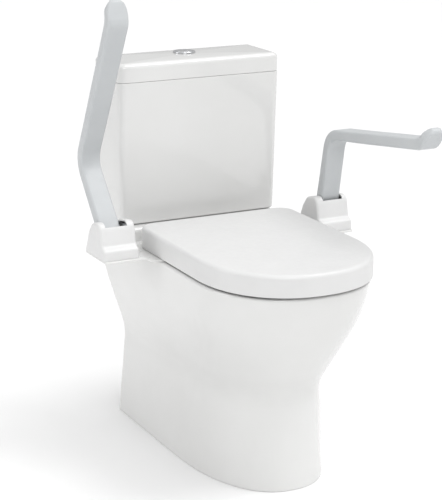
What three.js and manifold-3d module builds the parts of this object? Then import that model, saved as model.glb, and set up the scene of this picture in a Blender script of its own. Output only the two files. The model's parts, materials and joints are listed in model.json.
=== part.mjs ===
// A close-coupled back-to-wall toilet of raised height, with a wrap-over seat and fold-up support arms.
// Millimetres, +Z up. The suite is drawn with its back on the plane y = 0 and its front towards -y,
// and the outer group moves it so that the origin is under the middle of its bounding box.
import * as THREE from 'three';
import { mergeVertices } from 'three/addons/utils/BufferGeometryUtils.js';
import Module from 'manifold-3d';

const wasm = await Module();
wasm.setup();

// ---- driving dimensions ----
const GAP = 0.3;                // running and assembly gap between neighbouring pieces
const DEPTH = 706;              // wall to the front of the seat cover
const RIM_Z = 451;              // top of the pan's rim
const PLATFORM_Z = 480;         // top of the raised shelf that carries the cistern
const PLATFORM_DEPTH = 165;
const PAN_HALF_WIDTH = 183;
const WALL = 14;                // thickness of the pan's ceramic
const CREASE_Z = 202;           // the waist between skirt and bowl
const OUTLET_Z = 180;           // middle of the waste spigot

const TANK = { z0: 481, z1: 795.3, half0: 187, half1: 192, depth0: 137, depth1: 146.7, wall: 10, corner: 11 };
const LID = { z0: 795.8, z1: 838, half: 192.4, depth: 146.7, corner: 15, round: 13, wall: 14 };
const FITTING_Y = -70;          // flush valve, fill valve and tank bolts stand in one row
const TANK_BOLT_X = 75;
const FILL_X = -115;
const BUTTON_Y = -60;
const BUTTON_R = 19;

const SEAT_AXIS = { y: -215, z: 471 };
const HINGE_X = 78;             // the usual 155 mm spacing of seat fixing holes
const COVER = { z0: 456, z1: 503, half: 183.5, rear: 203, straight: 497, nose: DEPTH, wall: 4, power: 2.21 };
const RING = { z0: 461, z1: 485, half: 175, rear: 238, straight: 490, nose: 696, power: 2.21 };

const PLATE_Z = 451.3;          // underside of the steel plate that the arms stand on
const PLATE_TOP = 454.8;
const PLATE_HALF = 297.6;
const ARM = { x0: 237, x1: 283, pivotY: -241.3, pivotZ: 490.1, swing: 53.5, edge: 4, boss: 15 };
const HOUSING = { x0: 218, x1: PLATE_HALF, wall: 3, edge: 7 };
const CHEEK = { x0: 230.5, x1: 289.5, thick: 3 };
const STOP_R = 4;
const ROUND = 20;               // sides of a small round piece

// ---- materials ----
function finish(color, roughness, metalness = 0) {
  return new THREE.MeshStandardMaterial({ color, roughness, metalness });
}
const CERAMIC = finish(0xf1f1ef, 0.12);
const SEAT_PLASTIC = finish(0xeeeeec, 0.25);
const WHITE_PLASTIC = finish(0xececea, 0.4);
const ENAMEL = finish(0xf2f2f0, 0.3);
const GREY_PLASTIC = finish(0xcdd1d3, 0.5);
const VALVE_PLASTIC = finish(0xe2e4e0, 0.5);
const CHROME = finish(0xc8cacc, 0.1, 1);
const STEEL = finish(0xb4b6b8, 0.35, 1);
const BRASS = finish(0xb89a55, 0.35, 1);
const RUBBER = finish(0x2a2a2c, 0.8);

// ---- solids and booleans ----
function solid(geometry) {
  const g = geometry.clone();
  g.deleteAttribute('normal');
  g.deleteAttribute('uv');
  const merged = mergeVertices(g, 1e-3);
  const index = merged.index.array;
  const kept = [];
  for (let i = 0; i < index.length; i += 3) {
    const [a, b, c] = [index[i], index[i + 1], index[i + 2]];
    if (a !== b && b !== c && a !== c) kept.push(a, b, c);
  }
  const vertProperties = merged.attributes.position.array;
  return new wasm.Manifold(new wasm.Mesh({ numProp: 3, vertProperties, triVerts: new Uint32Array(kept) }));
}

function geometryOf(manifold) {
  const mesh = manifold.getMesh();
  const g = new THREE.BufferGeometry();
  g.setAttribute('position', new THREE.BufferAttribute(new Float32Array(mesh.vertProperties), 3));
  g.setIndex(new THREE.BufferAttribute(new Uint32Array(mesh.triVerts), 1));
  g.computeVertexNormals();
  return g;
}

const cut = (body, ...tools) => geometryOf(tools.reduce((s, t) => s.subtract(solid(t)), solid(body)));
const join = (...parts) => geometryOf(parts.slice(1).reduce((s, t) => s.add(solid(t)), solid(parts[0])));
const common = (a, b) => geometryOf(solid(a).intersect(solid(b)));

// ---- shapes ----
const v2 = (x, y) => new THREE.Vector2(x, y);

function block(x0, x1, y0, y1, z0, z1) {
  const g = new THREE.BoxGeometry(x1 - x0, y1 - y0, z1 - z0);
  return g.translate((x0 + x1) / 2, (y0 + y1) / 2, (z0 + z1) / 2);
}

function upright(r, x, y, z0, z1, sides = ROUND) {
  return new THREE.CylinderGeometry(r, r, z1 - z0, sides).rotateX(Math.PI / 2).translate(x, y, (z0 + z1) / 2);
}

function crossways(r, x0, x1, y, z, sides = ROUND) {
  return new THREE.CylinderGeometry(r, r, x1 - x0, sides).rotateZ(Math.PI / 2).translate((x0 + x1) / 2, y, z);
}

// A turned piece: [radius, z] pairs going up its outside, closed on the axis or on themselves.
function turned(profile, x, y, sides = ROUND) {
  const points = profile.map(([r, z]) => v2(r, z));
  return new THREE.LatheGeometry(points, sides).rotateX(Math.PI / 2).translate(x, y, 0);
}

// A tube, given as a closed profile.
function sleeve(rIn, rOut, x, y, z0, z1, sides = ROUND) {
  return turned([[rIn, z0], [rOut, z0], [rOut, z1], [rIn, z1], [rIn, z0]], x, y, sides);
}

// A shape in plan, extruded upwards. The edge is rounded at both ends when round is given.
function plan(shape, z0, z1, round = 0, roundSteps = 2) {
  const options = {
    depth: z1 - z0 - 2 * round, bevelEnabled: round > 0, bevelThickness: round,
    bevelSize: round, bevelOffset: -round, bevelSegments: roundSteps, curveSegments: 4,
  };
  return new THREE.ExtrudeGeometry(shape, options).translate(0, 0, z0 + round);
}

// A shape seen from the side, as (distance from the wall, height), extruded from x0 to x1.
function side(shape, x0, x1, round = 0, roundSteps = 2) {
  const toWorld = new THREE.Matrix4().makeBasis(
    new THREE.Vector3(0, -1, 0), new THREE.Vector3(0, 0, 1), new THREE.Vector3(-1, 0, 0));
  return plan(shape, 0, x1 - x0, round, roundSteps).applyMatrix4(toWorld.setPosition(x1, 0, 0));
}

const outline = (points) => new THREE.Shape(points.map(([x, y]) => v2(x, y)));

function roundedRectangle(x0, x1, y0, y1, r) {
  const s = new THREE.Shape();
  s.absarc(x1 - r, y0 + r, r, -Math.PI / 2, 0);
  s.absarc(x1 - r, y1 - r, r, 0, Math.PI / 2);
  s.absarc(x0 + r, y1 - r, r, Math.PI / 2, Math.PI);
  s.absarc(x0 + r, y0 + r, r, Math.PI, 1.5 * Math.PI);
  return s;
}

// The D of a seat: straight sides from the rear, then a nose that follows a superellipse.
function seatPoints({ half, rear, straight, nose, power }, corner = 0, noseSteps = 22) {
  const points = [];
  for (let i = 0; i <= noseSteps; i += 1) {
    const t = (Math.PI * i) / noseSteps;
    const across = Math.sign(Math.cos(t)) * Math.abs(Math.cos(t)) ** (2 / power);
    points.push(v2(-half * across, -straight - (nose - straight) * Math.sin(t) ** (2 / power)));
  }
  const cornerSteps = corner > 0 ? 4 : 0;
  for (const [cx, start] of [[half - corner, 0], [corner - half, Math.PI / 2]]) {
    for (let i = 0; i <= cornerSteps; i += 1) {
      const a = start + (Math.PI / 2) * (cornerSteps ? i / cornerSteps : start ? 1 : 0);
      const [dx, dy] = corner ? [corner * Math.cos(a), corner * Math.sin(a)] : [0, 0];
      points.push(v2(cx + dx, -rear - corner + dy));
    }
  }
  return points;
}

const seatShape = (size, corner, steps) => new THREE.Shape(seatPoints(size, corner, steps));
const inset = (size, by) => ({
  ...size, half: size.half - by, rear: size.rear + by, nose: size.nose - by,
});

// A tall shape whose section changes with height: a unit D or circle, moved by place(u, v, t) at every level.
function lofted(unit, levels, place) {
  const g = new THREE.ExtrudeGeometry(unit, { depth: 1, steps: levels, bevelEnabled: false });
  const p = g.attributes.position;
  for (let i = 0; i < p.count; i += 1) p.setXYZ(i, ...place(p.getX(i), p.getY(i), p.getZ(i)));
  return g;
}

// ---- pan ----
// Height, half-width and nose distance of the outside, from the floor up to the rim.
const PAN_SECTIONS = [
  [0, 143.6, 585], [70, 137.5, 577], [150, 130.5, 570], [CREASE_Z, 128, 566], [250, 141, 594],
  [301, 157.5, 629], [356, 173, 663], [410, 181, 686], [RIM_Z, PAN_HALF_WIDTH, 696],
];
const PAN_POWER = 2.3;
const PAN_LEVELS = PAN_SECTIONS.length - 1;

function panOuter(by, z0, z1, back) {
  const unit = seatShape({ half: 1, rear: 0, straight: 1, nose: 2, power: PAN_POWER }, 0, 20);
  return lofted(unit, PAN_LEVELS, (u, v, t) => {
    const [z, half, nose] = PAN_SECTIONS[Math.round(t * PAN_LEVELS)];
    const rise = z / RIM_Z;
    const straight = 298 + 190 * rise;
    const along = -v <= 1 ? back + (straight - back) * -v : straight + (nose - by - straight) * (-v - 1);
    return [u * (half - by), -along, z0 + (z1 - z0) * rise];
  });
}

// The inside of the bowl: wide at the rim, drawn in and back towards the sump.
// by thickens it into its own wall.
function bowl(by) {
  const unit = new THREE.Shape();
  unit.absarc(0, 0, 1, 0, 2 * Math.PI);
  const top = RIM_Z + 2;
  const bottom = 262 - by;
  return lofted(unit, 6, (u, v, t) => {
    const spread = Math.sqrt(Math.sin((Math.PI / 2) * t));
    const half = 46 + 84 * spread + by;
    const long = 62 + 114 * spread + by;
    const centre = 408 + 70 * t;
    return [u * half, -centre + v * long, bottom + (top - bottom) * t];
  });
}

// The S-bend from the sump to the straight spigot that the waste pipe joins, as a solid of radius r.
function trapway(r) {
  const path = new THREE.CatmullRomCurve3([
    [-400, 285], [-360, 215], [-290, 205], [-225, 275], [-165, 262], [-115, 195], [-50, OUTLET_Z],
  ].map(([y, z]) => new THREE.Vector3(0, y, z)));
  const circle = new THREE.Shape();
  circle.absarc(0, 0, r, 0, 2 * Math.PI);
  const bend = new THREE.ExtrudeGeometry(circle, {
    steps: 11, extrudePath: path, bevelEnabled: false, curveSegments: 4,
  });
  return join(bend, new THREE.CylinderGeometry(r, r, 60, 16).translate(0, -32, OUTLET_Z));
}

function pan() {
  const underRim = RIM_Z - 19;
  const shelf = PLATFORM_Z - 25;
  const channel = 45;
  const platformProfile = [
    [0, 430], [PLATFORM_DEPTH, 430], [PLATFORM_DEPTH, 472], [162, 478], [155, PLATFORM_Z], [0, PLATFORM_Z],
  ];
  const outside = join(
    panOuter(0, 0, RIM_Z, 0),
    side(outline(platformProfile), -PAN_HALF_WIDTH, PAN_HALF_WIDTH));
  const roomUnderShelf = block(WALL - PAN_HALF_WIDTH, PAN_HALF_WIDTH - WALL, WALL - PLATFORM_DEPTH, 2,
    underRim - 10, shelf);
  const kept = join(bowl(WALL), trapway(52), block(-channel, channel, -330, -20, 395, shelf + 1));
  const hollow = cut(join(panOuter(WALL, -1, underRim, -2), roomUnderShelf), kept);
  const holes = [
    bowl(0),
    trapway(42),
    new THREE.CylinderGeometry(42, 42, 10, 16).translate(0, -4, OUTLET_Z),
    block(WALL - channel, channel - WALL, -330, -34, 407, 443),
    upright(33, 0, FITTING_Y, 442, PLATFORM_Z + 1, 24),
    upright(47, 0, FITTING_Y, 466, PLATFORM_Z + 1, 24),
    upright(20, FILL_X, FITTING_Y, shelf - 1, PLATFORM_Z + 1),
  ];
  for (const s of [-1, 1]) {
    holes.push(upright(5.5, s * TANK_BOLT_X, FITTING_Y, shelf - 1, PLATFORM_Z + 1, 12));
    holes.push(upright(6, s * HINGE_X, SEAT_AXIS.y, underRim - 1, RIM_Z + 1, 12));
  }
  return cut(outside, hollow, ...holes);
}

// ---- cistern ----
// A rounded box that is a little wider and deeper at its top, grown or shrunk by its wall.
function tankBody(by, z0, z1) {
  const innerCorner = TANK.corner - by * 0.6;
  const shape = roundedRectangle(by - TANK.half0, TANK.half0 - by, by - TANK.depth0, -by, innerCorner);
  const g = new THREE.ExtrudeGeometry(shape, { depth: z1 - z0, bevelEnabled: false, curveSegments: 4 });
  const p = g.attributes.position;
  for (let i = 0; i < p.count; i += 1) {
    if (p.getZ(i) === 0) continue;
    p.setX(i, (p.getX(i) * TANK.half1) / TANK.half0);
    p.setY(i, (p.getY(i) * TANK.depth1) / TANK.depth0);
  }
  return g.translate(0, 0, z0);
}

function tank() {
  const floor = TANK.z0 + 12;
  return cut(tankBody(0, TANK.z0, TANK.z1), tankBody(TANK.wall, floor, TANK.z1 + 1),
    upright(31, 0, FITTING_Y, TANK.z0 - 1, floor + 1, 24),
    upright(10.5, FILL_X, FITTING_Y, TANK.z0 - 1, floor + 1),
    upright(5, TANK_BOLT_X, FITTING_Y, TANK.z0 - 1, floor + 1, 12),
    upright(5, -TANK_BOLT_X, FITTING_Y, TANK.z0 - 1, floor + 1, 12));
}

function lid() {
  const { half, depth, corner, round, z0, z1, wall } = LID;
  const lip = 21;
  const shell = plan(roundedRectangle(-half, half, -depth, 0, corner), z0 - 2 * round, z1, round, 3);
  const inside = block(wall - half, half - wall, wall - depth, -wall, z0 - 1, z1 - wall);
  const ledge = cut(
    plan(roundedRectangle(lip - half, half - lip, lip - depth, -lip, 8), z0 - 8, z0 + 12),
    plan(roundedRectangle(lip + 6 - half, half - lip - 6, lip + 6 - depth, -lip - 6, 5), z0 - 9, z0 + 13));
  const web = block(lip - half, half - lip, -wall - 8, -wall + 1, z0 + 4, z0 + 12);
  const frontWeb = block(lip - half, half - lip, wall - depth - 1, lip + 3 - depth, z0 + 4, z0 + 12);
  const body = cut(shell, block(-half - 1, half + 1, -depth - 1, 1, z0 - 3 * round, z0), inside);
  return cut(join(body, ledge, web, frontWeb), upright(21.3, 0, BUTTON_Y, z0, z1 + 1, 24));
}

// ---- flush and fill valves ----
const LIFT_BASE = 506;
const FLOAT_REST = 588;
const ROD_X = 9;

function flushValveBody() {
  const body = turned([
    [25, 468], [30.4, 468], [30.4, 493.3], [38, 493.3], [38, 498], [33, 498], [33, 700], [0, 700],
    [0, 694], [29, 694], [29, 503.5], [25, 500], [25, 468],
  ], 0, FITTING_Y, 24);
  const windows = [0, Math.PI / 2].map((a) => new THREE.BoxGeometry(24, 80, 46).rotateZ(a)
    .translate(0, FITTING_Y, 540));
  const rodHoles = [-1, 1].map((s) => upright(3.6, s * ROD_X, FITTING_Y, 690, 702, 12));
  return cut(body, ...windows, ...rodHoles);
}

const liftTube = () => turned([
  [15, LIFT_BASE], [26, LIFT_BASE], [26, LIFT_BASE + 3], [20, LIFT_BASE + 8],
  [20, 640], [15, 640], [15, LIFT_BASE],
], 0, FITTING_Y);

const fillValveBody = () => turned([
  [0, 452], [9.8, 452], [9.8, 493.3], [16, 493.3], [16, 498], [11, 501], [11, 580], [16, 582],
  [16, FLOAT_REST - GAP], [11, FLOAT_REST - GAP], [11, 742], [20, 746], [20, 772], [14, 778], [0, 778],
], FILL_X, FITTING_Y, 16);

// The float of a dry cistern, down on its collar.
const fillValveFloat = () => turned([
  [11.6, FLOAT_REST], [26, FLOAT_REST], [29, FLOAT_REST + 4], [29, FLOAT_REST + 44], [26, FLOAT_REST + 48],
  [11.6, FLOAT_REST + 48], [11.6, FLOAT_REST],
], FILL_X, FITTING_Y, 16);

// ---- flush button ----
const bezel = () => turned([
  [19.4, 803], [20.8, 803], [20.8, LID.z1 + GAP], [24.6, LID.z1 + GAP], [24.2, 840.5], [21.5, 841.8],
  [19.4, 841.5], [19.4, 803],
], 0, BUTTON_Y, 28);

// Half of the round button, on the side that s says, with its stem underneath.
function buttonHalf(s) {
  const seam = 0.4;
  const half = new THREE.Shape();
  const a = Math.asin(seam / BUTTON_R);
  half.absarc(0, 0, BUTTON_R, a, Math.PI - a);
  const cap = plan(half, 828, 843, 1, 2).rotateZ((-s * Math.PI) / 2).translate(0, BUTTON_Y, 0);
  return join(cap, upright(5, s * ROD_X, BUTTON_Y, 815, 829, 12));
}

// A rod stands over the flush valve, and its foot reaches forward under its half of the button.
function pushRod(s) {
  const route = new THREE.LineCurve3(
    new THREE.Vector3(s * ROD_X, FITTING_Y, 691), new THREE.Vector3(s * ROD_X, FITTING_Y, 808));
  const circle = new THREE.Shape();
  circle.absarc(0, 0, 3, 0, 2 * Math.PI);
  const rod = new THREE.ExtrudeGeometry(circle, { steps: 1, extrudePath: route, curveSegments: 4 });
  const foot = block(s * ROD_X - 3, s * ROD_X + 3, FITTING_Y - 2.5, BUTTON_Y + 4, 807, 814.7);
  return join(rod, foot);
}

// ---- seat ----
const axisY = SEAT_AXIS.y;
const axisZ = SEAT_AXIS.z;
const RING_LUG = [44, 65.4];
const POST = [66, 90];
const COVER_LUG = [90.6, 108];

// A lug seen from the side: round about the hinge axis, with a block that runs to its panel.
function lug([x0, x1], radius, y0, y1, z0, z1) {
  return join(crossways(radius, x0, x1, axisY, axisZ, 16), block(x0, x1, y0, y1, z0, z1));
}

const mirrored = (make) => [1, -1].map((s) => (s > 0 ? make() : solidMirror(make())));

function solidMirror(g) {
  return geometryOf(solid(g).mirror([1, 0, 0]));
}

function seatRing() {
  const edge = 4;
  const shape = seatShape(RING, 20);
  const hole = new THREE.Path();
  hole.absellipse(0, -466, 112, 162, 0, 2 * Math.PI);
  shape.holes.push(hole);
  const body = new THREE.ExtrudeGeometry(shape, {
    depth: RING.z1 - RING.z0 - 2 * edge, bevelThickness: edge, bevelSize: edge, bevelOffset: -edge,
    bevelSegments: 2, curveSegments: 8,
  }).translate(0, 0, RING.z0 + edge);
  const lugs = mirrored(() => lug(RING_LUG, 11, -RING.rear - 12, axisY, RING.z0 + 1, axisZ + 8));
  const bore = crossways(4.9, -120, 120, axisY, axisZ, 12);
  return cut(join(body, ...lugs), bore);
}

function seatCover() {
  const { z0, z1, wall } = COVER;
  const outer = plan(seatShape(COVER, 38), z0 - 20, z1, 9, 3);
  const inner = plan(seatShape(inset(COVER, wall), 34), z0 - 30, z1 - wall, 6, 2);
  const below = block(-300, 300, -DEPTH - 20, 0, z0 - 40, z0);
  const plateClear = 461.9;       // the rear wall stops above the mounting plate
  const relief = [[216, z0 - 1], [216, z0], [202, plateClear], [190, plateClear], [190, z0 - 1]];
  const rearRelief = side(outline(relief), -200, 200);
  const shell = cut(outer, inner, below, rearRelief);
  const room = plan(seatShape(inset(COVER, 2), 36), 0, z1 - 2);
  const lugs = mirrored(() => common(lug(COVER_LUG, 11, axisY - 17, axisY + 9, axisZ, z1 - 1), room));
  const notches = mirrored(() => block(42.5, POST[1], -COVER.rear - wall - 4, -COVER.rear + 1, z0 - 1, 486));
  return cut(join(shell, ...lugs), crossways(4.9, -120, 120, axisY, axisZ, 12), ...notches);
}

function hingePost() {
  const foot = block(...POST, axisY - 12, axisY + 12, PLATE_TOP + GAP, axisZ);
  const post = join(crossways(11.5, ...POST, axisY, axisZ, 16), foot);
  return cut(post, crossways(4.9, POST[0] - 1, POST[1] + 1, axisY, axisZ, 12),
    upright(4.4, HINGE_X, axisY, PLATE_TOP, 463, 12));
}

const hingeBolt = () => upright(4, HINGE_X, axisY, 416, 462, 12);

function wingNut(x, y, z0, height, bore) {
  const wings = block(x - 17, x + 17, y - 2, y + 2, z0, z0 + height - 3);
  const body = join(upright(8, x, y, z0, z0 + height, 12), wings);
  return cut(body, upright(bore, x, y, z0 - 1, z0 + height + 1, 12));
}

const tankBolt = () => turned([
  [0, 438], [4, 438], [4, 498.6], [9, 498.6], [9, 503], [7, 505], [0, 505],
], TANK_BOLT_X, FITTING_Y, 12);

// ---- support arms ----
const pivotF = -ARM.pivotY;
const turn = (f, z, degrees) => {
  const a = (degrees * Math.PI) / 180;
  const [df, dz] = [f - pivotF, z - ARM.pivotZ];
  return [pivotF + df * Math.cos(a) - dz * Math.sin(a), ARM.pivotZ + df * Math.sin(a) + dz * Math.cos(a)];
};
const POST_FRONT = [[259.3, 490.1], [290.2, 648]];   // front and back edges of the lowered arm's upright
const POST_BACK = [[231.7, 490.1], [269.5, 654]];

// The centre of a round stop that the edge from a to b rests on, on its left side when out is 1.
function stopBeside([a, b], z, out) {
  const k = (z - a[1]) / (b[1] - a[1]);
  const [df, dz] = [b[0] - a[0], b[1] - a[1]];
  const length = Math.hypot(df, dz);
  const away = STOP_R + GAP;
  return [a[0] + k * df + (out * away * dz) / length, z - (out * away * df) / length];
}
const FRONT_STOP = stopBeside(POST_FRONT, 508, 1);
const BACK_STOP = turn(...stopBeside(POST_BACK, 506, -1), ARM.swing);

// The arm seen from the side, lowered: boss, upright, bend, armrest and an upturned tip.
function armProfile() {
  const s = new THREE.Shape();
  s.absarc(pivotF, ARM.pivotZ, ARM.boss, Math.PI * 0.93, Math.PI * 1.97);
  s.lineTo(...POST_FRONT[0]);
  s.lineTo(...POST_FRONT[1]);
  s.quadraticCurveTo(293, 663, 318, 666);
  s.lineTo(374, 671.5);
  s.lineTo(508, 689);
  s.lineTo(636, 706);
  s.quadraticCurveTo(649, 708, 657, 718);
  s.lineTo(675, 741);
  s.quadraticCurveTo(680, 750, 671, 755);
  s.quadraticCurveTo(665, 758, 660, 752);
  s.quadraticCurveTo(646, 735, 626, 729);
  s.lineTo(527.5, 716);
  s.lineTo(389, 698.5);
  s.quadraticCurveTo(335, 692, 308, 687);
  s.quadraticCurveTo(278, 682, POST_BACK[1][0], POST_BACK[1][1]);
  s.lineTo(234, 500);
  return s;
}

function arm() {
  const tipR = (ARM.x1 - ARM.x0) / 2;
  const footprint = new THREE.Shape();
  footprint.moveTo(ARM.x1, -180);
  footprint.lineTo(ARM.x0, -180);
  footprint.absellipse(ARM.x0 + tipR, -664, tipR, 12, Math.PI, 2 * Math.PI);
  const slab = side(armProfile(), ARM.x0, ARM.x1, ARM.edge, 2);
  const bore = crossways(8.8, ARM.x0 - 1, ARM.x1 + 1, ARM.pivotY, ARM.pivotZ, 16);
  return cut(common(slab, plan(footprint, 400, 800)), bore);
}

const armBush = () => cut(crossways(8.5, 234, 286, ARM.pivotY, ARM.pivotZ, 16),
  crossways(6.3, 233, 287, ARM.pivotY, ARM.pivotZ, 16));

// ---- arm mounting ----
function mountingPlate() {
  const half = [
    [0, -196], [PLATE_HALF - 5, -191], [PLATE_HALF, -196], [PLATE_HALF, -299], [PLATE_HALF - 6, -305],
    [209, -307], [205, -312], [204.7, -322], [200, -329], [180, -337], [168, -334], [128, -280], [104, -250],
    [0, -244],
  ];
  const holes = [-1, 1].flatMap((k) => [
    upright(4.6, k * HINGE_X, axisY, PLATE_Z - 1, PLATE_TOP + 1, 12),
    ...SCREW_F.map((f) => upright(3.3, k * SCREW_X, -f, PLATE_Z - 1, PLATE_TOP + 1, 12)),
  ]);
  return cut(plan(symmetric(half), PLATE_Z, PLATE_TOP), ...holes);
}

// A plan outline from its right half, which starts and ends on the middle line.
function symmetric(half) {
  return outline([...half, ...half.slice(1, -1).reverse().map(([x, y]) => [-x, y])]);
}

const SCREW_X = 260;
const SCREW_F = [212, 262];

function pivotBracket() {
  const base = PLATE_TOP + GAP;
  const cheek = outline([
    [205, base], [277, base], [277, 488], [273.5, 514], [262, 522], [240, 518],
    [226, 510], [215, 492], [205, 470],
  ]);
  const cheeks = [[CHEEK.x0, CHEEK.x0 + CHEEK.thick], [CHEEK.x1 - CHEEK.thick, CHEEK.x1]]
    .map(([x0, x1]) => side(cheek, x0, x1));
  const foot = block(CHEEK.x0, CHEEK.x1, -277, -205, base, base + CHEEK.thick);
  const bores = [[6.3, pivotF, ARM.pivotZ], [STOP_R + GAP, ...FRONT_STOP], [STOP_R + GAP, ...BACK_STOP]]
    .map(([r, f, z]) => crossways(r, CHEEK.x0 - 1, CHEEK.x1 + 1, -f, z, 12));
  const screwHoles = SCREW_F.map((f) => upright(3.3, SCREW_X, -f, base - 1, base + CHEEK.thick + 1, 12));
  return cut(join(...cheeks, foot), ...bores, ...screwHoles);
}

// Turned pieces that lie along x keep their profile as [radius, x].
function turnedAlongX(profile, y, z, sides = 16) {
  return turned(profile, 0, 0, sides).rotateY(Math.PI / 2).translate(0, y, z);
}

const pivotPin = () => turnedAlongX([[0, 227.5], [6, 227.5], [6, 289.8], [9, 289.8], [9, 293], [0, 293]],
  ARM.pivotY, ARM.pivotZ);
const stopPin = ([f, z]) => crossways(STOP_R, 229, 291, -f, z, 12);
const bracketScrew = (f) => turned([[0, 447.8], [5.5, 447.8], [5.5, 451], [3, 451], [3, 462], [0, 462]],
  SCREW_X, -f, 12);

// The arch-shaped housing over each pivot, drawn by how far its outline is moved in.
function housingProfile(by, bottom) {
  return outline([
    [191 + by, bottom], [192 + by, 459], [207 + by, 486], [213.5 + by, 504], [228 + by * 0.7, 520 - by * 0.7],
    [252, 530 - by], [265, 533 - by], [274, 531 - by], [278 - by, 527 - by],
    [284 - by, 483], [297 - by, 476 - by],
    [298 - by, bottom],
  ]);
}

function armHousing() {
  const base = PLATE_TOP + GAP;
  const slotGap = 1.7;
  const { x0, x1, wall, edge } = HOUSING;
  const [[f0, z0], [f1, z1]] = POST_FRONT;
  const front = (z) => f0 + ((z - z0) * (f1 - f0)) / (z1 - z0) + slotGap;
  const below = block(x0 - 9, x1 + 9, -320, -180, base - 30, base);
  const outer = cut(side(housingProfile(0, base - 20), x0, x1, edge, 3), below);
  const inner = side(housingProfile(wall, base - 5), x0 + wall, x1 - wall);
  const [low, high] = [500, 545];
  const slotShape = outline([[180, low], [front(low), low], [front(high), high], [180, high]]);
  const slot = side(slotShape, ARM.x0 - slotGap, ARM.x1 + slotGap);
  return cut(outer, inner, slot);
}

// ---- the assembly ----
function piece(parent, name, geometry, material) {
  const mesh = new THREE.Mesh(geometry, material);
  mesh.name = name;
  parent.add(mesh);
  return mesh;
}

function cistern(suite) {
  const group = new THREE.Group();
  suite.add(group);
  piece(group, 'cistern_tank', tank(), CERAMIC);
  piece(group, 'cistern_lid', lid(), CERAMIC);
  piece(group, 'cistern_gasket', sleeve(39, 46, 0, FITTING_Y, 466.3, 480.7, 24), RUBBER);
  piece(group, 'flush_valve_body', flushValveBody(), VALVE_PLASTIC);
  piece(group, 'flush_valve_backnut', sleeve(31, 38.5, 0, FITTING_Y, 472, 480.7, 24), VALVE_PLASTIC);
  piece(group, 'flush_lift_tube', liftTube(), VALVE_PLASTIC);
  piece(group, 'flush_valve_seal', sleeve(15, 27.5, 0, FITTING_Y, 503.8, 505.7), RUBBER);
  piece(group, 'fill_valve_body', fillValveBody(), VALVE_PLASTIC);
  piece(group, 'fill_valve_float', fillValveFloat(), VALVE_PLASTIC);
  piece(group, 'fill_valve_backnut', sleeve(10.4, 17, FILL_X, FITTING_Y, 470, 480.7), BRASS);
  piece(group, 'button_bezel', bezel(), CHROME);
  piece(group, 'button_nut', sleeve(21.4, 27, 0, BUTTON_Y, 818, LID.z1 - LID.wall - GAP, 24), VALVE_PLASTIC);
  for (const [name, s] of [['half_flush', -1], ['full_flush', 1]]) {
    piece(group, `${name}_button`, buttonHalf(s), CHROME);
    piece(group, `${name}_push_rod`, pushRod(s), VALVE_PLASTIC);
  }
  for (const [name, s] of [['left', -1], ['right', 1]]) {
    const bolts = new THREE.Group();
    bolts.scale.x = s;
    group.add(bolts);
    piece(bolts, `tank_bolt_${name}`, tankBolt(), BRASS);
    const washer = sleeve(4.5, 14, TANK_BOLT_X, FITTING_Y, 493.3, 498.3, 16);
    piece(bolts, `tank_bolt_washer_${name}`, washer, RUBBER);
    piece(bolts, `tank_wing_nut_${name}`, wingNut(TANK_BOLT_X, FITTING_Y, 444.7, 10, 4.5), BRASS);
  }
}

// A rubber buffer that fills the room between two heights.
function buffer(r, x, y, below, above) {
  const [z0, z1] = [below + GAP, above - GAP];
  return turned([[0, z0], [r - 1.5, z0], [r, z0 + 2], [r, z1], [0, z1]], x, y, 14);
}

function seat(suite) {
  const group = new THREE.Group();
  suite.add(group);
  piece(group, 'seat_ring', seatRing(), SEAT_PLASTIC);
  piece(group, 'seat_cover', seatCover(), SEAT_PLASTIC);
  for (const [name, s] of [['left', -1], ['right', 1]]) {
    const sided = new THREE.Group();
    sided.scale.x = s;
    group.add(sided);
    piece(sided, `seat_buffer_front_${name}`, buffer(8, 96, -612, RIM_Z, RING.z0), RUBBER);
    piece(sided, `seat_buffer_rear_${name}`, buffer(8, 153, -375, RIM_Z, RING.z0), RUBBER);
    piece(sided, `cover_buffer_${name}`, buffer(7, 120, -560, RING.z1, COVER.z1 - COVER.wall), RUBBER);
    piece(sided, `hinge_post_${name}`, hingePost(), CHROME);
    piece(sided, `hinge_pin_${name}`, crossways(4.5, 45, 107, axisY, axisZ, 12), STEEL);
    piece(sided, `hinge_bolt_${name}`, hingeBolt(), STEEL);
    piece(sided, `hinge_wing_nut_${name}`, wingNut(HINGE_X, axisY, 421.7, 10, 4.4), WHITE_PLASTIC);
  }
}

// One support arm: its fixed parts, and the parts that turn with it in a group hung on the pivot.
function supportArm(suite, name, s, raised) {
  const sided = new THREE.Group();
  sided.scale.x = s;
  suite.add(sided);
  piece(sided, `arm_housing_${name}`, armHousing(), WHITE_PLASTIC);
  piece(sided, `pivot_bracket_${name}`, pivotBracket(), STEEL);
  piece(sided, `pivot_pin_${name}`, pivotPin(), STEEL);
  piece(sided, `front_stop_pin_${name}`, stopPin(FRONT_STOP), STEEL);
  piece(sided, `back_stop_pin_${name}`, stopPin(BACK_STOP), STEEL);
  piece(sided, `bracket_screw_front_${name}`, bracketScrew(SCREW_F[1]), STEEL);
  piece(sided, `bracket_screw_rear_${name}`, bracketScrew(SCREW_F[0]), STEEL);
  const swinging = new THREE.Group();
  swinging.position.set(0, ARM.pivotY, ARM.pivotZ);
  swinging.rotation.x = raised ? (-ARM.swing * Math.PI) / 180 : 0;
  sided.add(swinging);
  piece(swinging, `support_arm_${name}`, arm(), GREY_PLASTIC).position.set(0, -ARM.pivotY, -ARM.pivotZ);
  piece(swinging, `arm_bush_${name}`, armBush(), VALVE_PLASTIC).position.set(0, -ARM.pivotY, -ARM.pivotZ);
}

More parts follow.
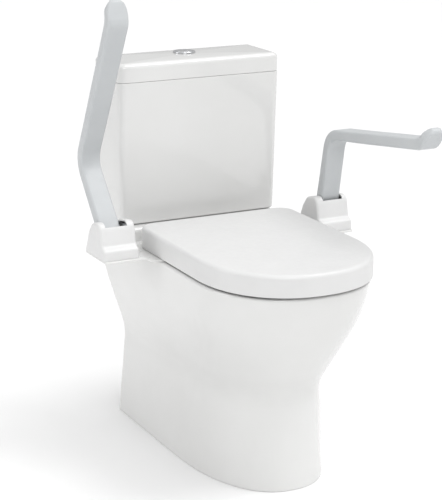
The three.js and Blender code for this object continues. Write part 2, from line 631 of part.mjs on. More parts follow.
const toilet = new THREE.Group();
const suite = new THREE.Group();
suite.position.y = DEPTH / 2;
toilet.add(suite);
piece(suite, 'pan', pan(), CERAMIC);
cistern(suite);
seat(suite);
piece(suite, 'mounting_plate', mountingPlate(), ENAMEL);
supportArm(suite, 'left', -1, true);
supportArm(suite, 'right', 1, false);

export default toilet;
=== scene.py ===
import json
import math

import bmesh
import bpy
from mathutils import Matrix, Vector


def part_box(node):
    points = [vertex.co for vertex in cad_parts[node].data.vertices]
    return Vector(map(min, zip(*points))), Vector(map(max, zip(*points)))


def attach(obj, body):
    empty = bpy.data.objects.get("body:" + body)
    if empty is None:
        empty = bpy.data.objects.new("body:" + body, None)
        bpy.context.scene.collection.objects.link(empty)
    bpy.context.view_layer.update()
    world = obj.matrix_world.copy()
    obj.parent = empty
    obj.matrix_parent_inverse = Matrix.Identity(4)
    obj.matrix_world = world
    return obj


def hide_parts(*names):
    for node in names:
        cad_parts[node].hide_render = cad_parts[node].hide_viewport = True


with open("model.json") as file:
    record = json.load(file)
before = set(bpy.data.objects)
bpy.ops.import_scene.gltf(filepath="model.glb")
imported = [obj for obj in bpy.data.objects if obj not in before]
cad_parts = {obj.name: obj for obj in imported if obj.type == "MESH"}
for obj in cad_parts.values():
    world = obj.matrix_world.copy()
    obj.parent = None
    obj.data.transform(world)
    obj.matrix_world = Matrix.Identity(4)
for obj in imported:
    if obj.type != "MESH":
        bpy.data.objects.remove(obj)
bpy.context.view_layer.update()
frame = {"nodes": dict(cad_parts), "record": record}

# Lengths are in millimetres: x across, f out from the wall, z up. at() turns them into the frame's metres.
MM = 0.001
WALL_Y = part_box("pan")[1].y


def at(x, f, z):
    return Vector((x * MM, WALL_Y - f * MM, z * MM))


def edges(node):
    """A CAD node's box in millimetres: x0, x1, f0, f1, z0, z1."""
    low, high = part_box(node)
    return (low.x / MM, high.x / MM, (WALL_Y - high.y) / MM, (WALL_Y - low.y) / MM, low.z / MM, high.z / MM)


# ---- outlines ----
def arc(cx, cy, r, start, end, steps):
    angles = [math.radians(start + (end - start) * i / steps) for i in range(steps + 1)]
    return [(cx + r * math.cos(a), cy + r * math.sin(a)) for a in angles]


def bend(a, control, b, steps=8):
    """A quadratic curve from a to b, without its first point."""
    out = []
    for i in range(1, steps + 1):
        t = i / steps
        out.append(tuple(
            (1 - t) ** 2 * a[k] + 2 * t * (1 - t) * control[k] + t * t * b[k] for k in range(2)
        ))
    return out


def filleted(corners, steps=7):
    """A closed outline from (x, y, radius) corners, each rounded by an arc-like curve."""
    out = []
    for i, (x, y, r) in enumerate(corners):
        here = Vector((x, y))
        before = Vector(corners[i - 1][:2]) - here
        after = Vector(corners[(i + 1) % len(corners)][:2]) - here
        if r <= 0:
            out.append((x, y))
            continue
        half = before.angle(after) / 2
        reach = min(r / math.tan(half), 0.48 * before.length, 0.48 * after.length)
        start = here + before.normalized() * reach
        end = here + after.normalized() * reach
        out.append(tuple(start))
        out += bend(tuple(start), (x, y), tuple(end), steps)
    return out


def resampled(points, count):
    """The same closed outline with its points evenly spaced."""
    ring = [Vector(p) for p in points] + [Vector(points[0])]
    lengths = [(b - a).length for a, b in zip(ring, ring[1:])]
    step = sum(lengths) / count
    out, i, passed = [], 0, 0.0
    for k in range(count):
        target = k * step
        while passed + lengths[i] < target:
            passed += lengths[i]
            i += 1
        t = (target - passed) / lengths[i] if lengths[i] else 0
        out.append(tuple(ring[i].lerp(ring[i + 1], t)))
    return out


def shrunk(points, by):
    """An outline moved inwards; it may run either way round."""
    area = sum(a[0] * b[1] - b[0] * a[1] for a, b in zip(points, points[1:] + points[:1]))
    way = math.copysign(by, area)
    out = []
    for i, p in enumerate(points):
        a, b = points[i - 1], points[(i + 1) % len(points)]
        dx, dy = b[0] - a[0], b[1] - a[1]
        length = math.hypot(dx, dy)
        out.append((p[0] - way * dy / length, p[1] + way * dx / length))
    return out


def rounding(r, steps=5):
    """(inset, rise) pairs up a quarter round."""
    turns = [math.pi / 2 * i / steps for i in range(steps + 1)]
    return [(r * (1 - math.cos(a)), r * math.sin(a)) for a in turns]


def rounded_rectangle(x0, x1, y0, y1, r):
    return filleted([(x0, y0, r), (x1, y0, r), (x1, y1, r), (x0, y1, r)])


def seat_outline(half, rear, straight, nose, power, corner, count=220):
    """The D of a seat in plan: straight sides, a superellipse nose and rounded rear corners."""
    points = []
    for i in range(81):
        t = math.pi * i / 80
        across = math.copysign(abs(math.cos(t)) ** (2 / power), math.cos(t))
        points.append((half * across, straight + (nose - straight) * math.sin(t) ** (2 / power)))
    points += arc(corner - half, rear + corner, corner, 180, 270, 10)
    points += arc(half - corner, rear + corner, corner, 270, 360, 10)
    return resampled(points, count)


# ---- solids ----
def made(name, points, faces):
    mesh = bpy.data.meshes.new(name)
    mesh.from_pydata(points, [], faces)
    bm = bmesh.new()
    bm.from_mesh(mesh)
    bmesh.ops.recalc_face_normals(bm, faces=bm.faces)
    bm.to_mesh(mesh)
    bm.free()
    obj = bpy.data.objects.new(name, mesh)
    bpy.context.scene.collection.objects.link(obj)
    return obj


def stacked(name, rings, closed=False):
    """A solid of bands between rings of one count, capped at both ends or closed on itself."""
    count = len(rings[0])
    points = [p for ring in rings for p in ring]
    faces = []
    for i in range(len(rings) if closed else len(rings) - 1):
        a, b = i * count, (i + 1) % len(rings) * count
        for j in range(count):
            k = (j + 1) % count
            faces.append((a + j, a + k, b + k, b + j))
    if not closed:
        faces.append(tuple(range(count)))
        faces.append(tuple(range(len(points) - count, len(points))))
    return made(name, points, faces)


def upwards(name, outline, z0, z1, low=0.0, high=0.0):
    """A plan outline extruded upwards, with its lower and upper edges rounded."""
    levels = [(inset, z0 + low - rise) for inset, rise in reversed(rounding(low))] if low else [(0, z0)]
    levels += [(inset, z1 - high + rise) for inset, rise in rounding(high)] if high else [(0, z1)]
    return stacked(name, [[at(x, f, z) for x, f in shrunk(outline, inset)] for inset, z in levels])


def crossways(name, outline, x0, x1, edge=0.0):
    """A side outline of (f, z) extruded along x, with the edges of both sides rounded."""
    levels = [(0, x0), (0, x1)]
    if edge:
        levels = [(inset, x0 + edge - rise) for inset, rise in reversed(rounding(edge))]
        levels += [(inset, x1 - edge + rise) for inset, rise in rounding(edge)]
    return stacked(name, [[at(x, f, z) for f, z in shrunk(outline, inset)] for inset, x in levels])


def lathed(name, profile, cx, cf, sides=96):
    """A ring turned about an upright axis from a closed (radius, z) profile."""
    rings = []
    for i in range(sides):
        a = 2 * math.pi * i / sides
        rings.append([at(cx + r * math.cos(a), cf + r * math.sin(a), z) for r, z in profile])
    return stacked(name, rings, closed=True)


def post(r, x, f, z0, z1, sides=48):
    return upwards("tool", arc(x, f, r, 0, 360 - 360 / sides, sides - 1), z0, z1)


def axle(r, x0, x1, f, z, sides=48):
    return crossways("tool", arc(f, z, r, 0, 360 - 360 / sides, sides - 1), x0, x1)


def block(x0, x1, f0, f1, z0, z1):
    return upwards("tool", [(x0, f0), (x1, f0), (x1, f1), (x0, f1)], z0, z1)


def combine(obj, operation, tools, solver):
    """Joins tools to obj, or cuts them out of it, and removes them. The exact solver keeps gentle curves,
    and the manifold solver handles thin walls whose two sides are shaped alike."""
    for tool in tools:
        step = obj.modifiers.new("combine", "BOOLEAN")
        step.operation = operation
        step.solver = solver
        step.object = tool
        bpy.context.view_layer.update()
        shaped = obj.evaluated_get(bpy.context.evaluated_depsgraph_get())
        mesh = bpy.data.meshes.new_from_object(shaped)
        obj.modifiers.clear()
        obj.data = mesh
        bpy.data.objects.remove(tool)
    return obj


def cut(obj, *tools, solver="EXACT"):
    return combine(obj, "DIFFERENCE", tools, solver)


def join(obj, *tools):
    return combine(obj, "UNION", tools, "EXACT")


def smooth(obj, degrees=32):
    bm = bmesh.new()
    bm.from_mesh(obj.data)
    bmesh.ops.remove_doubles(bm, verts=bm.verts, dist=0.002 * MM)
    bmesh.ops.dissolve_degenerate(bm, dist=0.002 * MM, edges=bm.edges)
    bm.to_mesh(obj.data)
    bm.free()
    obj.data.polygons.foreach_set("use_smooth", [True] * len(obj.data.polygons))
    obj.data.set_sharp_from_angle(angle=math.radians(degrees))
    step = obj.modifiers.new("even_shading", "WEIGHTED_NORMAL")
    step.keep_sharp = True
    return obj


# ---- materials ----
def surface(name, dark, light, rough, grain, relief, patch,
            metal=0.0, coat=0.0, stretch=(1, 1, 1), spots=0.0):
    """A procedural finish: colour drifts between dark and light over patches, roughness varies
    with it, and grain (per metre) and relief (metres) give the surface its fine bump."""
    mat = bpy.data.materials.new(name)
    mat.use_nodes = True
    nodes, links = mat.node_tree.nodes, mat.node_tree.links
    shader = nodes["Principled BSDF"]
    shader.inputs["Metallic"].default_value = metal
    shader.inputs["Coat Weight"].default_value = coat
    shader.inputs["Coat Roughness"].default_value = 0.05
    where = nodes.new("ShaderNodeTexCoord")
    scaled = nodes.new("ShaderNodeMapping")
    scaled.inputs["Scale"].default_value = stretch
    links.new(where.outputs["Object"], scaled.inputs["Vector"])

    def noise(scale, detail, roughness=0.55):
        n = nodes.new("ShaderNodeTexNoise")
        n.inputs["Scale"].default_value = scale
        n.inputs["Detail"].default_value = detail
        n.inputs["Roughness"].default_value = roughness
        links.new(scaled.outputs["Vector"], n.inputs["Vector"])
        return n

    drift = noise(patch, 4)
    ramp = nodes.new("ShaderNodeValToRGB")
    ramp.color_ramp.elements[0].position = 0.3
    ramp.color_ramp.elements[1].position = 0.7
    ramp.color_ramp.elements[0].color = (*dark, 1)
    ramp.color_ramp.elements[1].color = (*light, 1)
    links.new(drift.outputs["Fac"], ramp.inputs["Fac"])
    colour = ramp.outputs["Color"]
    fine = noise(grain, 3)
    if spots:
        # Pin-sized specks of the body that show through a glaze or a moulding.
        cells = nodes.new("ShaderNodeTexVoronoi")
        cells.inputs["Scale"].default_value = spots
        links.new(scaled.outputs["Vector"], cells.inputs["Vector"])
        reach = nodes.new("ShaderNodeMapRange")
        reach.inputs["From Min"].default_value = 0.02
        reach.inputs["From Max"].default_value = 0.06
        reach.inputs["To Min"].default_value = 0.16
        reach.inputs["To Max"].default_value = 0.0
        links.new(cells.outputs["Distance"], reach.inputs["Value"])
        speck = nodes.new("ShaderNodeMix")
        speck.data_type = "RGBA"
        speck.inputs["B"].default_value = (0.42, 0.41, 0.38, 1)
        links.new(reach.outputs["Result"], speck.inputs["Factor"])
        links.new(colour, speck.inputs["A"])
        colour = speck.outputs["Result"]
    links.new(colour, shader.inputs["Base Color"])
    handled = noise(patch * 5, 6, 0.7)
    spread = nodes.new("ShaderNodeMapRange")
    spread.inputs["From Min"].default_value = 0.3
    spread.inputs["From Max"].default_value = 0.7
    spread.inputs["To Min"].default_value = rough * 0.75
    spread.inputs["To Max"].default_value = rough * 1.3
    links.new(handled.outputs["Fac"], spread.inputs["Value"])
    links.new(spread.outputs["Result"], shader.inputs["Roughness"])
    bump = nodes.new("ShaderNodeBump")
    bump.inputs["Strength"].default_value = 1.0
    bump.inputs["Distance"].default_value = relief
    links.new(fine.outputs["Fac"], bump.inputs["Height"])
    links.new(bump.outputs["Normal"], shader.inputs["Normal"])
    return mat


FINISH = {
    "ceramic": surface(
        "glazed_china", (0.675, 0.675, 0.666), (0.705, 0.705, 0.698), 0.10, 130, 0.00004, 5, coat=0.5,
        spots=55),
    "seat_plastic": surface(
        "thermoset_white", (0.652, 0.652, 0.650), (0.672, 0.672, 0.670), 0.38, 1500, 0.000012, 18),
    "housing_plastic": surface(
        "satin_white_moulding", (0.685, 0.685, 0.684), (0.715, 0.715, 0.713), 0.38, 1500, 0.000012, 18),
    "plate_enamel": surface(
        "white_enamel", (0.70, 0.70, 0.69), (0.73, 0.73, 0.72), 0.32, 420, 0.00001, 14),
    "arm_grey": surface(
        "grey_moulding", (0.490, 0.508, 0.520), (0.518, 0.535, 0.546), 0.45, 1500, 0.00002, 11),
    "valve_plastic": surface(
        "valve_moulding", (0.58, 0.60, 0.56), (0.68, 0.70, 0.67), 0.45, 800, 0.00003, 30),
    "chrome": surface(
        "bright_chrome", (0.52, 0.53, 0.55), (0.70, 0.71, 0.72), 0.07, 260, 0.000004, 40, metal=1.0),
    "steel": surface(
        "brushed_steel", (0.42, 0.43, 0.44), (0.58, 0.59, 0.60), 0.32, 700, 0.00001, 60, metal=1.0,
        stretch=(1, 8, 1)),
    "brass": surface(
        "turned_brass", (0.52, 0.38, 0.15), (0.68, 0.52, 0.24), 0.34, 900, 0.00001, 50, metal=1.0,
        stretch=(1, 1, 6)),
    "rubber": surface(
        "black_rubber", (0.018, 0.018, 0.019), (0.035, 0.035, 0.036), 0.75, 1100, 0.00004, 40),
}
BODY_OF = {node: body for body, nodes in frame["record"]["behaviour"]["bodies"].items() for node in nodes}
SLOT_OF = {part["node"]: part["material_slot"] for part in frame["record"]["subparts"]}

for node, obj in frame["nodes"].items():
    obj.data.materials.clear()
    obj.data.materials.append(FINISH[SLOT_OF[node]])


def stands_for(obj, node):
    """obj takes the CAD node's body, slot and finish."""
    obj.name = obj.data.name = f"{node}_shell"
    obj.data.materials.clear()
    obj.data.materials.append(FINISH[SLOT_OF[node]])
    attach(obj, BODY_OF[node])
    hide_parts(node)
    return obj


# ---- pan ----
# Height, half-width and nose distance of the outside, from the floor to the rim.
PAN_SECTIONS = [
    (0, 143.6, 585), (70, 137.5, 577), (150, 130.5, 570), (202, 128, 566), (250, 141, 594),
    (301, 157.5, 629), (356, 173, 663), (410, 181, 686), (451, 183, 696),
]
RIM_Z = 451
RIM_EDGE = 7
PAN_WALL = 14
SHELF_Z = 480
# The flush valve, fill valve and tank bolts stand on one line, this far from the wall.
FITTINGS_F = 70
FILL_X = -115
BOLT_X = 75
HINGE_X = 78
HINGE_F = 215
OUTLET_Z = 180


def section_at(z):
    """Half-width and nose distance at a height, on a smooth curve through the sections."""
    rows = PAN_SECTIONS
    i = max(0, min(len(rows) - 2, sum(row[0] <= z for row in rows) - 1))
    a, b = rows[i], rows[i + 1]
    before, after = rows[max(i - 1, 0)], rows[min(i + 2, len(rows) - 1)]
    t = (z - a[0]) / (b[0] - a[0])
    out = []
    for k in (1, 2):
        slope_a = (b[k] - before[k]) / (b[0] - before[0]) * (b[0] - a[0])
        slope_b = (after[k] - a[k]) / (after[0] - a[0]) * (b[0] - a[0])
        out.append(
            (2 * t**3 - 3 * t**2 + 1) * a[k] + (t**3 - 2 * t**2 + t) * slope_a
            + (3 * t**2 - 2 * t**3) * b[k] + (t**3 - t**2) * slope_b
        )
    return out


def pan_ring(z, inset, rear):
    half, nose = section_at(max(0, min(z, RIM_Z)))
    straight = 298 + 190 * z / RIM_Z
    half, nose = half - inset, nose - inset
    points = [(half, rear + (straight - rear) * i / 16) for i in range(16)]
    for i in range(73):
        t = math.pi * i / 72
        across = math.copysign(abs(math.cos(t)) ** (2 / 2.3), math.cos(t))
        points.append((half * across, straight + (nose - straight) * math.sin(t) ** (2 / 2.3)))
    points += [(-half, straight - (straight - rear) * i / 16) for i in range(1, 17)]
    points += [(-half + 2 * half * i / 12, rear) for i in range(1, 12)]
    return [at(x, f, z) for x, f in points]


def bowl(by):
    rings = []
    bottom, top = 262 - by, RIM_Z + 2
    for i in range(25):
        t = i / 24
        spread = math.sqrt(math.sin(math.pi / 2 * t))
        flare = 0 if by else 9 * max(0, (t - 0.955) / 0.045) ** 2
        half, long = 46 + 84 * spread + by + flare, 62 + 114 * spread + by + flare
        centre, z = 408 + 70 * t, bottom + (top - bottom) * t
        turns = [2 * math.pi * j / 96 for j in range(96)]
        rings.append([at(half * math.cos(a), centre + long * math.sin(a), z) for a in turns])
    return stacked("tool", rings)


def trapway(r):
    stops = [
        (400, 285), (360, 215), (290, 205), (225, 275), (165, 262), (115, 195), (50, OUTLET_Z), (-2, OUTLET_Z),
    ]
    path = []
    for i in range(len(stops) - 1):
        p0, p1 = stops[max(i - 1, 0)], stops[i]
        p2, p3 = stops[i + 1], stops[min(i + 2, len(stops) - 1)]
        for j in range(8):
            t = j / 8
            path.append(Vector([
                0.5 * (2 * p1[k] + (p2[k] - p0[k]) * t + (2 * p0[k] - 5 * p1[k] + 4 * p2[k] - p3[k]) * t * t
                       + (3 * p1[k] - p0[k] - 3 * p2[k] + p3[k]) * t**3) for k in range(2)
            ]))
    path.append(Vector(stops[-1]))
    rings = []
    for i, here in enumerate(path):
        along = (path[min(i + 1, len(path) - 1)] - path[max(i - 1, 0)]).normalized()
        turns = [2 * math.pi * j / 40 for j in range(40)]
        rings.append([
            at(r * math.cos(a), here.x - along.y * r * math.sin(a), here.y + along.x * r * math.sin(a))
            for a in turns
        ])
    return stacked("tool", rings)


def pan():
    levels = [(2.0, 0), (0.6, 0.6), (0, 2.5)] + [(0, 8 + 12 * i) for i in range(37)]
    levels += [(inset, RIM_Z - RIM_EDGE + rise) for inset, rise in rounding(RIM_EDGE, 6)]
    body = stacked("pan", [pan_ring(z, inset, 0) for inset, z in levels])
    half = section_at(RIM_Z)[0]
    shelf = filleted([(0, 425, 0), (165, 425, 0), (165, SHELF_Z, 9), (0, SHELF_Z, 0)])
    join(body, crossways("tool", shelf, -half, half, RIM_EDGE))
    inside = [-1] + [12 * i for i in range(1, 36)] + [RIM_Z - 19]
    hollow = stacked("tool", [pan_ring(z, PAN_WALL, -2) for z in inside])
    join(hollow, block(PAN_WALL - half, half - PAN_WALL, -2, 165 - PAN_WALL, 422, 455))
    cut(hollow, bowl(PAN_WALL), trapway(52), block(-45, 45, 20, 330, 395, 456))
    cut(body, hollow, bowl(0), trapway(42), block(-31, 31, 34, 330, 407, 443))
    over = SHELF_Z + 1
    cut(body, post(33, 0, FITTINGS_F, 442, over), post(47, 0, FITTINGS_F, 466, over))
    cut(body, post(20, FILL_X, FITTINGS_F, 454, over))
    for s in (-1, 1):
        cut(body, post(5.5, s * BOLT_X, FITTINGS_F, 454, over), post(6, s * HINGE_X, HINGE_F, 431, RIM_Z + 1))
    return stands_for(smooth(body, 38), "pan")


# ---- cistern ----
BUTTON_F = 60


def scaled_ring(points, centre, share, z):
    """A plan outline drawn in towards a centre, at a height."""
    return [at(centre[0] + (x - centre[0]) * share, centre[1] + (f - centre[1]) * share, z) for x, f in points]


def tank():
    z0, z1 = edges("cistern_tank")[4:]
    levels = [(5 - 5 * math.sin(a), z0 + 5 - 5 * math.cos(a)) for a in (0, 0.4, 0.8, 1.2, math.pi / 2)]
    levels += [(0, z0 + (z1 - z0) * t) for t in (0.25, 0.5, 0.75)]
    levels += [(inset, z1 - 1.5 + rise) for inset, rise in rounding(1.5, 3)]
    levels += [(10, z1), (10, z0 + 30), (14, z0 + 17), (24, z0 + 12)]

    def ring(inset, z):
        t = (z - z0) / (z1 - z0)
        half, depth = 187 + 5 * t, 137 + 9.7 * t
        outline = resampled(rounded_rectangle(-half, half, 0, depth, 14), 200)
        return [at(x, f, z) for x, f in shrunk(outline, inset)]

    body = stacked("tank", [ring(*level) for level in levels])
    holes = [(31, 0), (10.5, FILL_X), (5, -BOLT_X), (5, BOLT_X)]
    cut(body, *[post(r, x, FITTINGS_F, z0 - 1, z0 + 14) for r, x in holes])
    return stands_for(smooth(body), "cistern_tank")


def lid():
    x0, x1, f0, f1, z0, z1 = edges("cistern_lid")
    skirt, edge, crown = 795.8, 12, 1.6
    outline = resampled(rounded_rectangle(x0, x1, f0, f1, 17), 200)
    inner = resampled(rounded_rectangle(x0 + 14, x1 - 14, f0 + 14, f1 - 14, 9), 200)
    middle = ((x0 + x1) / 2, (f0 + f1) / 2)
    rings = [
        scaled_ring(shrunk(outline, edge), middle, share, z1 - crown * share**2)
        for share in (0.03, 0.3, 0.6, 0.85, 1.0)
    ]
    for inset, rise in reversed(rounding(edge, 8)):
        rings.append([at(x, f, z1 - crown - edge + rise) for x, f in shrunk(outline, inset)])
    rings += [[at(x, f, z) for x, f in shrunk(outline, inset)] for inset, z in ((0, skirt + 1), (1, skirt))]
    rings += [[at(x, f, z) for x, f in inner] for z in (skirt, z1 - 15)]
    rings.append(scaled_ring(inner, middle, 0.05, z1 - 14))
    body = stacked("lid", rings)
    rim = upwards("tool", rounded_rectangle(x0 + 21, x1 - 21, f0 + 21, f1 - 21, 8), z0, skirt + 30, low=1.5)
    cut(rim, upwards("tool", rounded_rectangle(x0 + 27, x1 - 27, f0 + 27, f1 - 27, 5), z0 - 1, skirt + 31))
    join(body, rim)
    cut(body, post(21.3, 0, BUTTON_F, z0, z1 + 2, 96))
    return stands_for(smooth(body), "cistern_lid")


def button_bezel():
    top = edges("button_bezel")[5]
    seat = 838.3
    profile = [(19.4, 803), (20.8, 803), (20.8, seat), (24.6, seat), (24.7, seat + 0.7)]
    profile += [(r, z) for r, z in reversed(arc(22.4, top - 2.3, 2.3, 5, 90, 8))][::-1]
    profile += [(21.0, top - 0.2), (20.2, top - 1.0), (19.4, top - 2.2)]
    return stands_for(smooth(lathed("bezel", profile, 0, BUTTON_F), 40), "button_bezel")


def button_half(name, s):
    """Half of the round button with a softly domed top, a seam along its middle and its stem."""
    radius, seam, top = 19, 0.4, edges(name)[5]
    start = math.degrees(math.asin(seam / radius))
    outline = [(x, BUTTON_F + y) for x, y in arc(0, 0, radius, start, 180 - start, 40)]
    outline += [(-radius + 2 * radius * i / 24, BUTTON_F + seam) for i in range(1, 24)]
    turned = [(s * (y - BUTTON_F), BUTTON_F + x) for x, y in outline]
    edge, dome = 1.1, 0.8
    levels = [(0.4, 828), (0, 828.4), (0, top - edge - dome)]
    levels += [(inset, top - edge - dome + rise) for inset, rise in rounding(edge, 5)]
    rings = [[at(x, f, z) for x, f in shrunk(turned, inset)] for inset, z in levels]
    centre = (s * radius * 0.42, BUTTON_F)
    rings += [
        scaled_ring(shrunk(turned, edge), centre, share, top - dome * share**2)
        for share in (0.75, 0.5, 0.25, 0.04)
    ]
    body = stacked(name, rings)
    join(body, post(5, s * 9, BUTTON_F, 815, 829))
    return stands_for(smooth(body, 40), name)


# ---- seat ----
AXIS_Z = 471


def lug(x0, x1, radius, f0, f1, z0, z1):
    solid = axle(radius, x0, x1, HINGE_F, AXIS_Z)
    return join(solid, block(x0, x1, f0, f1, z0, z1))


def seat_cover():
    z0, z1, wall, edge, crown = 456, edges("seat_cover")[5], 4, 9, 1.6
    outline = seat_outline(183.5, 203, 497, 706, 2.21, 38)
    middle = 450
    shares = (0.03, 0.2, 0.4, 0.6, 0.78, 0.9, 1.0)

    def across(points, top, drop, order):
        return [
            [at(x * s, middle + (f - middle) * s, top - drop * s**2) for x, f in points] for s in order
        ]

    rings = across(shrunk(outline, edge), z1, crown, shares)
    for inset, rise in reversed(rounding(edge, 8)[:-1]):
        rings.append([at(x, f, z1 - crown - edge + rise) for x, f in shrunk(outline, inset)])
    lower_edge = [
        (0, 480), (0, z0 + 1.2), (0.5, z0 + 0.3), (1.3, z0), (wall - 0.6, z0), (wall, z0 + 0.8), (wall, 488),
    ]
    for inset, z in lower_edge:
        rings.append([at(x, f, z) for x, f in shrunk(outline, inset)])
    for inset, rise in rounding(6, 4):
        rings.append([at(x, f, z1 - crown - wall - 6 + rise) for x, f in shrunk(outline, wall + inset)])
    rings += across(shrunk(outline, wall + 6), z1 - wall - crown, 0, reversed(shares[:-1]))
    body = stacked("cover", rings)
    relief = [(216, z0 - 1), (216, z0), (202, 461.9), (190, 461.9), (190, z0 - 1)]
    cut(body, crossways("tool", relief, -200, 200))
    for s in (-1, 1):
        lo, hi = sorted((s * 90.6, s * 108))
        join(body, lug(lo, hi, 11, 206.5, 232, AXIS_Z, z1 - 2.8))
        lo, hi = sorted((s * 42.5, s * 90))
        cut(body, block(lo, hi, 202, 211, z0 - 1, 486))
    cut(body, axle(4.9, -120, 120, HINGE_F, AXIS_Z))
    return stands_for(smooth(body, 35), "seat_cover")


def seat_ring():
    z0, z1 = edges("seat_ring")[4:]
    outer = seat_outline(175, 238, 490, 696, 2.21, 20, 400)
    middle = 466
    turns = sorted((math.atan2(f - middle, x), (x, f)) for x, f in outer)
    outer = [p for _, p in turns]

    def inner(out):
        points = []
        for x, f in outer:
            a = math.atan2(f - middle, x)
            r = 1 / math.hypot(math.cos(a) / (112 + out), math.sin(a) / (162 + out))
            points.append((r * math.cos(a), middle + r * math.sin(a)))
        return points

    rings = [(shrunk(outer, 2.5), z0), (shrunk(outer, 0.7), z0 + 0.7), (outer, z0 + 2.5)]
    rings += [(shrunk(outer, inset), z1 - 6 + rise) for inset, rise in rounding(6, 6)]
    crest = shrunk(outer, 6)
    for t in (0.35, 0.7):
        mixed = [(a[0] + (b[0] - a[0]) * t, a[1] + (b[1] - a[1]) * t) for a, b in zip(crest, inner(9))]
        rings.append((mixed, z1 - 1.5 * t * t))
    for out, rise in reversed(rounding(9, 7)):
        rings.append((inner(out), z1 - 2 - 9 + rise))
    rings += [(inner(0), z0 + 2.5), (inner(0.7), z0 + 0.7), (inner(2.5), z0)]
    body = stacked("ring", [[at(x, f, z) for x, f in ring] for ring, z in rings], closed=True)
    for s in (-1, 1):
        lo, hi = sorted((s * 44, s * 65.4))
        join(body, lug(lo, hi, 11, HINGE_F, 250, z0 + 1, AXIS_Z + 8))
    cut(body, axle(4.9, -120, 120, HINGE_F, AXIS_Z))
    return stands_for(smooth(body, 35), "seat_ring")


def hinge_post(name):
    x0, x1, _, _, z0, _ = edges(name)
    outline = [(HINGE_F - 12, z0), (HINGE_F + 12, z0)] + arc(HINGE_F, AXIS_Z, 11.5, 0, 180, 24)
    body = crossways("post", resampled(outline, 80), x0, x1, 1.2)
    cut(body, axle(4.9, x0 - 1, x1 + 1, HINGE_F, AXIS_Z), post(4.4, (x0 + x1) / 2, HINGE_F, z0 - 1, 463))
    return stands_for(smooth(body), name)


# ---- support arms ----
ARM_HALF = 23
ARM_X = 260
ARM_EDGE = 5.5
PIVOT = (241.3, 490.1)
SWING = 53.5
# The width starts to narrow at TIP_F and closes over TIP_REACH.
TIP_F = 656
TIP_REACH = 17


def mirror(obj):
    obj.data.transform(Matrix.Diagonal((-1, 1, 1, 1)))
    obj.data.flip_normals()


def rounded_section(low, high, half, r):
    """A ring round the arm between its lower and upper edge points, with soft corners."""
    low, high = Vector(low), Vector(high)
    tall = (high - low).length
    up = (high - low) / tall if tall > 0.01 else Vector((0, 1))
    centre = (low + high) / 2
    r = min(r, 0.49 * tall, 0.49 * half)
    ring = []
    for cx, cy, start in ((half - r, tall / 2 - r, 0), (r - half, tall / 2 - r, 90),
                          (r - half, r - tall / 2, 180), (half - r, r - tall / 2, 270)):
        for x, y in arc(cx, cy, r, start, start + 90, 7):
            ring.append((ARM_X + x, centre.x + up.x * y, centre.y + up.y * y))
    return ring


def support_arm(name, s, raised):
    """Its lower and upper edges run in pairs of points up the upright, round the bend, along the armrest
    and over the upturned tip."""
    low = [(259.3 + 28.6 * t, 490.1 + 146 * t) for t in [i / 14 for i in range(15)]]
    high = [(231.7 + 33.8 * t, 490.1 + 150 * t) for t in [i / 14 for i in range(15)]]
    low += bend(low[-1], (293, 664), (330, 667.4), 16) + bend((330, 667.4), (380, 672), (508, 689), 12)
    high += bend(high[-1], (276, 683), (318, 688.6), 16) + bend((318, 688.6), (380, 696), (512, 714), 12)
    low += [(508 + 130 * i / 10, 689 + 17.2 * i / 10) for i in range(1, 11)]
    high += [(512 + 114 * i / 10, 714 + 15 * i / 10) for i in range(1, 11)]
    low += bend(low[-1], (649, 708), (657, 718), 12) + bend((657, 718), (666, 729.5), (675, 741), 8)
    high += bend(high[-1], (640, 731.5), (650, 741), 12) + bend((650, 741), (654, 745.5), (658, 750), 8)
    low += bend(low[-1], (680.5, 749.5), (671.3, 754.8), 10)
    high += bend(high[-1], (664, 757.5), (671, 755), 10)
    rings = []
    for a, b in zip(low, high):
        past = min(1.0, max(0.0, (a[0] + b[0]) / 2 - TIP_F) / TIP_REACH)
        half = ARM_HALF * math.sqrt(1 - 0.97 * past**2)
        rings.append([at(*p) for p in rounded_section(a, b, half, ARM_EDGE)])
    body = stacked("arm", rings)
    boss = arc(*PIVOT, 15, 0, 355, 71)
    join(body, crossways("tool", boss, ARM_X - ARM_HALF, ARM_X + ARM_HALF, 2))
    cut(body, axle(8.8, ARM_X - 30, ARM_X + 30, *PIVOT))
    if s < 0:
        mirror(body)
    if raised:
        pivot = at(0, *PIVOT)
        turn = Matrix.Rotation(math.radians(-SWING), 4, "X")
        body.data.transform(Matrix.Translation(pivot) @ turn @ Matrix.Translation(-pivot))
    return stands_for(smooth(body), name)


def housing_outline(bottom):
    """The arch seen from the side, with a step at its front."""
    return filleted([
        (191, bottom, 9), (192, 459, 7), (212, 502, 26), (230, 524, 22), (274, 533, 20), (284, 483.5, 5),
        (297.5, 476, 7), (298, bottom, 9),
    ])


def arm_housing(name, s):
    x0, x1, base = 218, 297.6, 455.1
    below, edge, wall, gap, lip = 20, 5.5, 3, 1.7, 521
    outline = resampled(housing_outline(base - below), 260)
    body = crossways("housing", outline, x0, x1, edge)
    hollow = crossways("tool", shrunk(outline, wall), x0 + wall, x1 - wall, 3)
    front = [259.3 + 30.9 / 157.9 * (z - 490.1) + gap for z in (500, lip)]
    slot = [(180, 500), (front[0], 500), (front[1], lip), (310, lip), (310, 545), (180, 545)]
    window = crossways("tool", slot, 237 - gap, 283 + gap)
    foot = block(x0 - 9, x1 + 9, 180, 320, base - below - 10, base)
    cut(body, foot, hollow, window, solver="MANIFOLD")
    if s < 0:
        mirror(body)
    return stands_for(smooth(body), name)


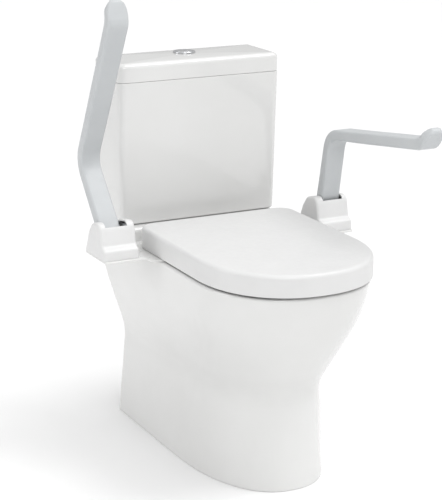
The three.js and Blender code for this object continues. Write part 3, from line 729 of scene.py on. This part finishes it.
def mounting_plate():
    z0, z1 = edges("mounting_plate")[4:]
    half = [
        (292.6, 191, 5), (297.6, 196, 5), (297.6, 305, 9), (206, 307, 9), (204, 330, 14), (168, 336, 12),
        (128, 280, 20), (104, 246, 12),
    ]
    outline = filleted([*half, *[(-x, f, r) for x, f, r in reversed(half)]])
    body = upwards("plate", resampled(outline, 700), z0, z1, 0.5, 0.8)
    for s in (-1, 1):
        cut(body, post(4.6, s * HINGE_X, HINGE_F, z0 - 1, z1 + 1))
        for f in (212, 262):
            cut(body, post(3.3, s * ARM_X, f, z0 - 1, z1 + 1))
    return stands_for(smooth(body), "mounting_plate")


pan()
tank()
lid()
button_bezel()
button_half("half_flush_button", -1)
button_half("full_flush_button", 1)
seat_cover()
seat_ring()
mounting_plate()
for side, s in (("left", -1), ("right", 1)):
    hinge_post(f"hinge_post_{side}")
    arm_housing(f"arm_housing_{side}", s)
    support_arm(f"support_arm_{side}", s, side == "left")


# ---- floor, light and camera ----
FLOOR_PAINT = surface("pale_floor", (0.865, 0.865, 0.865), (0.88, 0.88, 0.88), 0.9, 300, 0.0, 2)


def floor():
    half = 14000
    slab = upwards("floor", [(-half, -half), (half, -half), (half, half), (-half, half)], -20, -0.2)
    slab.data.materials.append(FLOOR_PAINT)


def softbox(name, place, aim, size, power):
    light = bpy.data.lights.new(name, "AREA")
    light.shape = "RECTANGLE"
    light.size, light.size_y = size
    light.energy = power
    obj = bpy.data.objects.new(name, light)
    obj.location = place
    obj.rotation_euler = (Vector(aim) - Vector(place)).to_track_quat("-Z", "Y").to_euler()
    bpy.context.scene.collection.objects.link(obj)


SKY_LEVEL = 0.46
SKY_ABOVE = 1.04
BACKDROP = 1.05


def studio():
    """A soft sky that is brighter overhead and shows as plain white, two softboxes and a low-contrast sun."""
    world = bpy.data.worlds.new("studio")
    bpy.context.scene.world = world
    world.use_nodes = True
    nodes, links = world.node_tree.nodes, world.node_tree.links
    fill = nodes["Background"]
    fill.inputs["Color"].default_value = (1, 1, 1, 1)
    where = nodes.new("ShaderNodeTexCoord")
    split = nodes.new("ShaderNodeSeparateXYZ")
    rise = nodes.new("ShaderNodeMapRange")
    rise.inputs["From Min"].default_value = 0.0
    rise.inputs["From Max"].default_value = 1.0
    rise.inputs["To Min"].default_value = SKY_LEVEL
    rise.inputs["To Max"].default_value = SKY_ABOVE
    links.new(where.outputs["Generated"], split.inputs["Vector"])
    links.new(split.outputs["Z"], rise.inputs["Value"])
    links.new(rise.outputs["Result"], fill.inputs["Strength"])
    seen = nodes.new("ShaderNodeBackground")
    seen.inputs["Strength"].default_value = BACKDROP
    path = nodes.new("ShaderNodeLightPath")
    choose = nodes.new("ShaderNodeMixShader")
    links.new(path.outputs["Is Camera Ray"], choose.inputs["Fac"])
    links.new(fill.outputs["Background"], choose.inputs[1])
    links.new(seen.outputs["Background"], choose.inputs[2])
    links.new(choose.outputs["Shader"], nodes["World Output"].inputs["Surface"])
    softbox("front", (-0.9, -3.2, 2.9), (0, 0, 0.5), (2.2, 1.6), 42)
    softbox("left", (-3.2, 1.2, 1.6), (0.1, 0.1, 0.7), (1.2, 2.0), 14)
    sun = bpy.data.lights.new("sun", "SUN")
    sun.energy = 1.15
    sun.angle = math.radians(30)
    lamp = bpy.data.objects.new("sun", sun)
    lamp.rotation_euler = Vector((0.44, -0.22, 0.87)).to_track_quat("Z", "Y").to_euler()
    bpy.context.scene.collection.objects.link(lamp)
    bpy.context.scene.view_settings.view_transform = "Standard"


def camera():
    data = bpy.data.cameras.new("camera")
    data.lens = 120.69
    data.sensor_width = 36
    data.clip_end = 60
    obj = bpy.data.objects.new("camera", data)
    obj.location = (-1.5691, -3.0362, 1.4215)
    obj.rotation_euler = (math.radians(90 - 15.74), 0, math.radians(-26.5))
    bpy.context.scene.collection.objects.link(obj)
    bpy.context.scene.camera = obj


floor()
studio()
camera()
